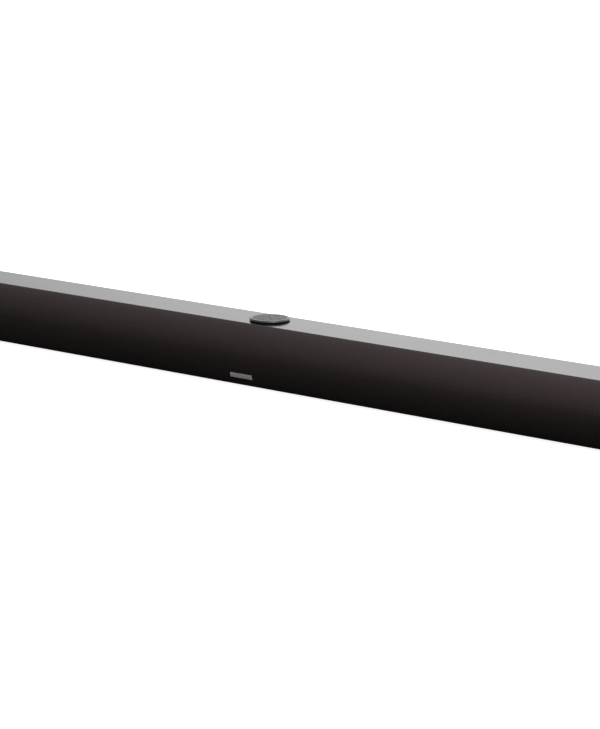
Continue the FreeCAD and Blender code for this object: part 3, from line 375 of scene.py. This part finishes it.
def bow_line(low, high, inset):
    """The front's section, from the seam at the top to the lip underneath."""
    z_nose = low.z + NOSE_RISE
    top_y = high.y_seam
    drop = high.z_edge - z_nose
    reach = high.y_edge - low.y
    upper_radius = (reach**2 + drop**2) / (2 * reach)
    upper = (low.y + upper_radius, z_nose)
    lower = (low.y + LOWER_NOSE_RADIUS, z_nose)
    corner_z = low.z + CORNER_RADIUS
    lean = math.asin((z_nose - corner_z) / (LOWER_NOSE_RADIUS - CORNER_RADIUS))
    corner = (
        lower[0] - (LOWER_NOSE_RADIUS - CORNER_RADIUS) * math.cos(lean),
        corner_z,
    )
    start = math.acos((upper[0] - top_y) / (upper_radius - inset))
    line = arc(upper, upper_radius - inset, start, 0.0, UPPER_STEPS)
    line += arc(lower, LOWER_NOSE_RADIUS - inset, 0.0, -lean, LOWER_STEPS)[1:]
    line += arc(
        corner, CORNER_RADIUS - inset, -lean, -math.pi / 2, CORNER_STEPS
    )[1:]
    line.append((high.y_lip, low.z + inset))
    return line


class Reach:
    """Where the cloth's section begins and ends."""

    def __init__(self, y_edge, z_edge, y_seam, y_lip):
        self.y_edge = y_edge
        self.z_edge = z_edge
        self.y_seam = y_seam
        self.y_lip = y_lip


def along(line):
    """Distance along a section to each of its points."""
    total = [0.0]
    for (y0, z0), (y1, z1) in zip(line, line[1:]):
        total.append(total[-1] + math.hypot(y1 - y0, z1 - z0))
    return total


cloth_low, cloth_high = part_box("grille_cloth")
cover_low, cover_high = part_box("top_cover")
tray_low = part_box("bottom_tray")[0]
cloth_reach = Reach(
    cover_low.y, cover_high.z, cover_low.y - SEAM_GAP, tray_low.y - SEAM_GAP
)


def woven_tube(name, x0, x1, low, reach):
    """The stretched cloth as a closed skin, with its length along u and its wrap along v."""
    mesh = bmesh.new()
    uv = mesh.loops.layers.uv.new("weave")
    span = [
        x0 + END_TUCK + (x1 - x0 - 2 * END_TUCK) * i / SPAN_STEPS
        for i in range(SPAN_STEPS + 1)
    ]
    rows = []
    for i in range(END_STEPS):
        turn = math.pi / 2 * i / END_STEPS
        sink = END_TUCK * END_SINK * (1 - math.sin(turn))
        rows.append((x0 + END_TUCK * (1 - math.cos(turn)), sink))
    rows += [(x, 0.0) for x in span]
    rows += [(x0 + x1 - x, sink) for x, sink in rows[:END_STEPS][::-1]]
    outer_v = along(bow_line(low, reach, 0.0))
    rings = []
    for x, sink in rows:
        outside = bow_line(low, reach, sink)
        inside = bow_line(low, reach, CLOTH_THICKNESS)
        ring = [mesh.verts.new((x, y, z)) for y, z in outside]
        ring += [mesh.verts.new((x, y, z)) for y, z in inside[::-1]]
        rings.append(ring)
    width = outer_v + outer_v[::-1]
    count = len(rings[0])
    for (xa, _), (xb, _), ra, rb in zip(rows, rows[1:], rings, rings[1:]):
        for i in range(count):
            j = (i + 1) % count
            face = mesh.faces.new((ra[i], rb[i], rb[j], ra[j]))
            face.smooth = True
            for loop, at in zip(
                face.loops,
                ((xa, width[i]), (xb, width[i]), (xb, width[j]), (xa, width[j])),
            ):
                loop[uv].uv = at
    mesh.faces.new(rings[0])
    mesh.faces.new(rings[-1][::-1])
    bmesh.ops.recalc_face_normals(mesh, faces=mesh.faces)
    data = bpy.data.meshes.new(name)
    mesh.to_mesh(data)
    mesh.free()
    piece = bpy.data.objects.new(name, data)
    bpy.context.scene.collection.objects.link(piece)
    return piece, outer_v[-1]


acoustic_cloth = Finish(
    "acoustic_cloth",
    CLOTH_DARK,
    0.9,
    Sheen_Weight=0.05,
    Sheen_Roughness=0.5,
    Specular_IOR_Level=0.12,
)
weave_place = acoustic_cloth.add("TexCoord").outputs["UV"]
threads = acoustic_cloth.add("SeparateXYZ", {"Vector": weave_place}).outputs
warp = acoustic_cloth.math("MULTIPLY", threads["X"], math.pi / YARN_PITCH)
weft = acoustic_cloth.math("MULTIPLY", threads["Y"], math.pi / YARN_PITCH)
warp_round = acoustic_cloth.math("ABSOLUTE", acoustic_cloth.math("SINE", warp))
weft_round = acoustic_cloth.math("ABSOLUTE", acoustic_cloth.math("SINE", weft))
over = acoustic_cloth.add(
    "TexChecker", {"Vector": weave_place, "Scale": 1 / YARN_PITCH}
).outputs["Fac"]
lifted = acoustic_cloth.add("Mix", {"Factor": over, "A": weft_round, "B": warp_round})
weave_height = lifted.outputs["Result"]
slub = acoustic_cloth.noise(3 * MM, 3.0, (0.15, 1, 1))
shade = acoustic_cloth.noise(60 * MM, 2.0, (0.5, 1, 1))
# Painted shade in the hollows between the yarns and a painted highlight on the yarn crowns,
# taken from the weave's height, plus random slubs and slow patches of tone.
weave_shade_and_tone = acoustic_cloth.math(
    "ADD",
    acoustic_cloth.math("MULTIPLY", weave_height, 0.6),
    acoustic_cloth.math("MULTIPLY", acoustic_cloth.math("ADD", slub, shade), 0.25),
)
acoustic_cloth.colour(acoustic_cloth.blend_colours(weave_shade_and_tone, CLOTH_DARK, CLOTH_LIGHT))
acoustic_cloth.bump(weave_height, 0.1 * MM, 0.6)

cloth, cloth_width = woven_tube(
    "front_cloth", cloth_low.x, cloth_high.x, cloth_low, cloth_reach
)
cloth.data.materials.append(acoustic_cloth.material)
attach(cloth, "cabinet")
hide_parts("grille_cloth")

# --- Badge ---------------------------------------------------------------------------
# A plain strip of aluminium, bent to the front's curve and glued to the cloth. It is
# brushed along its length and anodised a pale satin silver.
BADGE_COLOUR = (0.85, 0.85, 0.85, 1)

brushed = Finish("brushed_badge", BADGE_COLOUR, 0.45, Metallic=0.1)
lines = brushed.noise(0.12 * MM, 2.0, (0.02, 1, 1))
brushed.rough(brushed.ramp(lines, 0.36, 0.56))
brushed.bump(lines, 0.008 * MM)
dress(brushed, "badge")

# --- Control pad ---------------------------------------------------------------------
# A raised satin ring clipped into the top cover, round four quarter keys. Each key
# slides down through the ring's floor, and a printed mark shows what it does.
RING_COLOUR = (0.03, 0.03, 0.031, 1)
KEY_COLOUR = (0.022, 0.022, 0.022, 1)
MARK_COLOUR = (0.004, 0.004, 0.004, 1)
MARK_HEIGHT = 0.05 * MM
MARK_ORBIT = 11.9 * MM
MARK_STROKE = 0.55 * MM
MARK_TURNS = (0, 2, 1, 3)
MITRE_LIMIT = 0.5

ring_plastic = moulded("ring_plastic", RING_COLOUR, 0.24, 0.3 * MM, 0.004 * MM)
dress(ring_plastic, "control_ring")
key_plastic = moulded("key_plastic", KEY_COLOUR, 0.42, 0.25 * MM, 0.012 * MM)
key_plastic.shader.inputs["Specular IOR Level"].default_value = 0.3
mark_ink = moulded("mark_ink", MARK_COLOUR, 0.8, 0.2 * MM, 0.004 * MM)

MARKS = {
    "volume_up": [[(-2.1, 0), (2.1, 0)], [(0, -2.1), (0, 2.1)]],
    "volume_down": [[(-2.1, 0), (2.1, 0)]],
    "source": [
        [(-2.6, 0), (0.9, 0)],
        [(-0.4, 1.3), (0.9, 0), (-0.4, -1.3)],
        [(0.2, 2.2), (2.4, 2.2), (2.4, -2.2), (0.2, -2.2)],
    ],
    "power": [
        [(0, 0.5), (0, 2.6)],
        [
            (2.0 * math.sin(math.radians(a)), 2.0 * math.cos(math.radians(a)))
            for a in range(40, 321, 20)
        ],
    ],
}


def printed_stroke(mesh, path, centre, z):
    """One line of a mark: a thin flat ribbon of ink with square ends."""
    half = MARK_STROKE / 2
    points = [Vector((x, y)) * MM for x, y in path]
    left, right = [], []
    for i, at in enumerate(points):
        before = points[max(i - 1, 0)]
        after = points[min(i + 1, len(points) - 1)]
        into = (at - before).normalized() if i > 0 else (after - at).normalized()
        out = (after - at).normalized() if i < len(points) - 1 else into
        mean = (into + out).normalized()
        side = Vector((-mean.y, mean.x))
        widen = half / max(side.dot(Vector((-into.y, into.x))), MITRE_LIMIT)
        if i == 0:
            at = at - out * half
        if i == len(points) - 1:
            at = at + into * half
        left.append(at + side * widen)
        right.append(at - side * widen)
    levels = (z, z + MARK_HEIGHT)
    rows = [
        [
            mesh.verts.new((centre[0] + p.x, centre[1] + p.y, level))
            for p in (a, b)
            for level in levels
        ]
        for a, b in zip(left, right)
    ]
    for r, s in zip(rows, rows[1:]):
        mesh.faces.new((r[1], s[1], s[3], r[3]))
        mesh.faces.new((r[0], r[2], s[2], s[0]))
        mesh.faces.new((r[0], s[0], s[1], r[1]))
        mesh.faces.new((r[2], r[3], s[3], s[2]))
    for r in (rows[0], rows[-1]):
        mesh.faces.new((r[0], r[1], r[3], r[2]))


ring_low, ring_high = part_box("control_ring")
pad_middle = ((ring_low.x + ring_high.x) / 2, (ring_low.y + ring_high.y) / 2)
for turn, (mark, strokes) in zip(MARK_TURNS, MARKS.items()):
    dress(key_plastic, "key_" + mark)
    angle = math.pi / 2 * turn
    centre = (
        pad_middle[0] + MARK_ORBIT * math.cos(angle),
        pad_middle[1] + MARK_ORBIT * math.sin(angle),
    )
    mesh = bmesh.new()
    for path in strokes:
        printed_stroke(mesh, path, centre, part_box("key_" + mark)[1].z - MARK_HEIGHT / 2)
    bmesh.ops.recalc_face_normals(mesh, faces=mesh.faces)
    data = bpy.data.meshes.new("mark_" + mark)
    mesh.to_mesh(data)
    mesh.free()
    print_piece = bpy.data.objects.new("mark_" + mark, data)
    bpy.context.scene.collection.objects.link(print_piece)
    data.materials.append(mark_ink.material)
    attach(print_piece, mark + "_key")

# --- Fasteners -----------------------------------------------------------------------
# Black oxide screws hold the case, drivers and boards. Two brass inserts, pressed
# into the back panel, take the screws of a wall bracket.
SCREW_COLOUR = (0.03, 0.03, 0.032, 1)
BRASS_COLOUR = (0.72, 0.53, 0.22, 1)

black_oxide = Finish("black_oxide", SCREW_COLOUR, 0.36, Metallic=0.7)
black_oxide.rough(black_oxide.ramp(black_oxide.noise(0.8 * MM, 3.0), 0.26, 0.48))
black_oxide.bump(black_oxide.noise(0.3 * MM), 0.006 * MM)
dress(black_oxide, "case_screws", "driver_screws", "board_screws")

turned_brass = Finish("turned_brass", BRASS_COLOUR, 0.28, Metallic=1.0)
tool_marks = turned_brass.noise(0.2 * MM, 2.0, (1, 0.1, 1))
turned_brass.rough(turned_brass.ramp(tool_marks, 0.2, 0.4))
turned_brass.bump(tool_marks, 0.008 * MM)
dress(turned_brass, "wall_inserts")

# --- Studio --------------------------------------------------------------------------
# A pale floor, a soft box overhead and a little in front, and a bright wall behind
# that the polished top mirrors. The camera has a long lens and looks slightly down.
FLOOR_SIZE = 60.0
FLOOR_COLOUR = (0.93, 0.93, 0.93, 1)
FLOOR_GLOW = 0.92
AIM = Vector((49.8, 0.0, 26.9)) * MM
DISTANCE = 2879 * MM
AZIMUTH = math.radians(39.67)
ELEVATION = math.radians(12.0)
LENS = 136.8
SENSOR = 36.0
BACK_WALL_LIGHT = 1.37
BACK_WALL_END = 0.62
FRONT_LIGHT = 0.25
BELOW_LIGHT = 0.06
BACK_WALL_SPAN = (0.58, 0.80)
SIDE_SPAN = (-0.1, 0.45)
HORIZON_SPAN = (-0.06, 0.03)
OVERHEAD_PLACE = (0.80, -0.30, 1.6)
OVERHEAD_AIM = Vector((0.30, 0, 0))
OVERHEAD_SIZE = (1.2, 0.6)
OVERHEAD_POWER = 43
FAR_CLIP = 100

floor_mesh = bmesh.new()
bmesh.ops.create_grid(floor_mesh, x_segments=8, y_segments=8, size=FLOOR_SIZE / 2)
floor_data = bpy.data.meshes.new("studio_floor")
floor_mesh.to_mesh(floor_data)
floor_mesh.free()
floor = bpy.data.objects.new("studio_floor", floor_data)
bpy.context.scene.collection.objects.link(floor)
paper = Finish("studio_paper", FLOOR_COLOUR, 0.9)
paper.rough(paper.ramp(paper.noise(30 * MM), 0.85, 0.95))
paper.shader.inputs["Emission Color"].default_value = (1, 1, 1, 1)
paper.shader.inputs["Emission Strength"].default_value = FLOOR_GLOW
floor_data.materials.append(paper.material)
floor.visible_diffuse = False
floor.visible_glossy = False

room = bpy.data.worlds.new("studio_room")
bpy.context.scene.world = room
room.use_nodes = True
sky = room.node_tree
sky_way = sky.nodes.new("ShaderNodeTexCoord").outputs["Generated"]
sky_parts = sky.nodes.new("ShaderNodeSeparateXYZ")
sky.links.new(sky_way, sky_parts.inputs[0])


def sky_ramp(value, low, high, at):
    node = sky.nodes.new("ShaderNodeMapRange")
    node.interpolation_type = "SMOOTHSTEP"
    sky.links.new(value, node.inputs["Value"])
    node.inputs["From Min"].default_value = at[0]
    node.inputs["From Max"].default_value = at[1]
    for name, amount in (("To Min", low), ("To Max", high)):
        if isinstance(amount, bpy.types.NodeSocket):
            sky.links.new(amount, node.inputs[name])
        else:
            node.inputs[name].default_value = amount
    return node.outputs[0]


wall_light = sky_ramp(
    sky_parts.outputs["Y"], BACK_WALL_END, BACK_WALL_LIGHT, BACK_WALL_SPAN
)
side_light = sky_ramp(sky_parts.outputs["Y"], FRONT_LIGHT, wall_light, SIDE_SPAN)
room_light = sky_ramp(sky_parts.outputs["Z"], BELOW_LIGHT, side_light, HORIZON_SPAN)
sky.nodes["Background"].inputs["Color"].default_value = (1, 1, 1, 1)
sky.links.new(room_light, sky.nodes["Background"].inputs["Strength"])


def soft_box(name, place, aim, size, power):
    lamp = bpy.data.lights.new(name, "AREA")
    lamp.shape = "RECTANGLE"
    lamp.size, lamp.size_y = size
    lamp.energy = power
    box = bpy.data.objects.new(name, lamp)
    box.location = place
    box.rotation_euler = (aim - Vector(place)).to_track_quat("-Z", "Y").to_euler()
    bpy.context.scene.collection.objects.link(box)
    return box


soft_box(
    "overhead_box", OVERHEAD_PLACE, OVERHEAD_AIM, OVERHEAD_SIZE, OVERHEAD_POWER
)

camera = bpy.data.objects.new("camera", bpy.data.cameras.new("camera"))
camera.data.lens = LENS
camera.data.sensor_width = SENSOR
camera.data.clip_end = FAR_CLIP
towards = Vector(
    (
        math.sin(AZIMUTH) * math.cos(ELEVATION),
        -math.cos(AZIMUTH) * math.cos(ELEVATION),
        math.sin(ELEVATION),
    )
)
camera.location = AIM + towards * DISTANCE
camera.rotation_euler = towards.to_track_quat("Z", "Y").to_euler()
bpy.context.scene.collection.objects.link(camera)
bpy.context.scene.camera = camera
bpy.context.scene.view_settings.view_transform = "Standard"
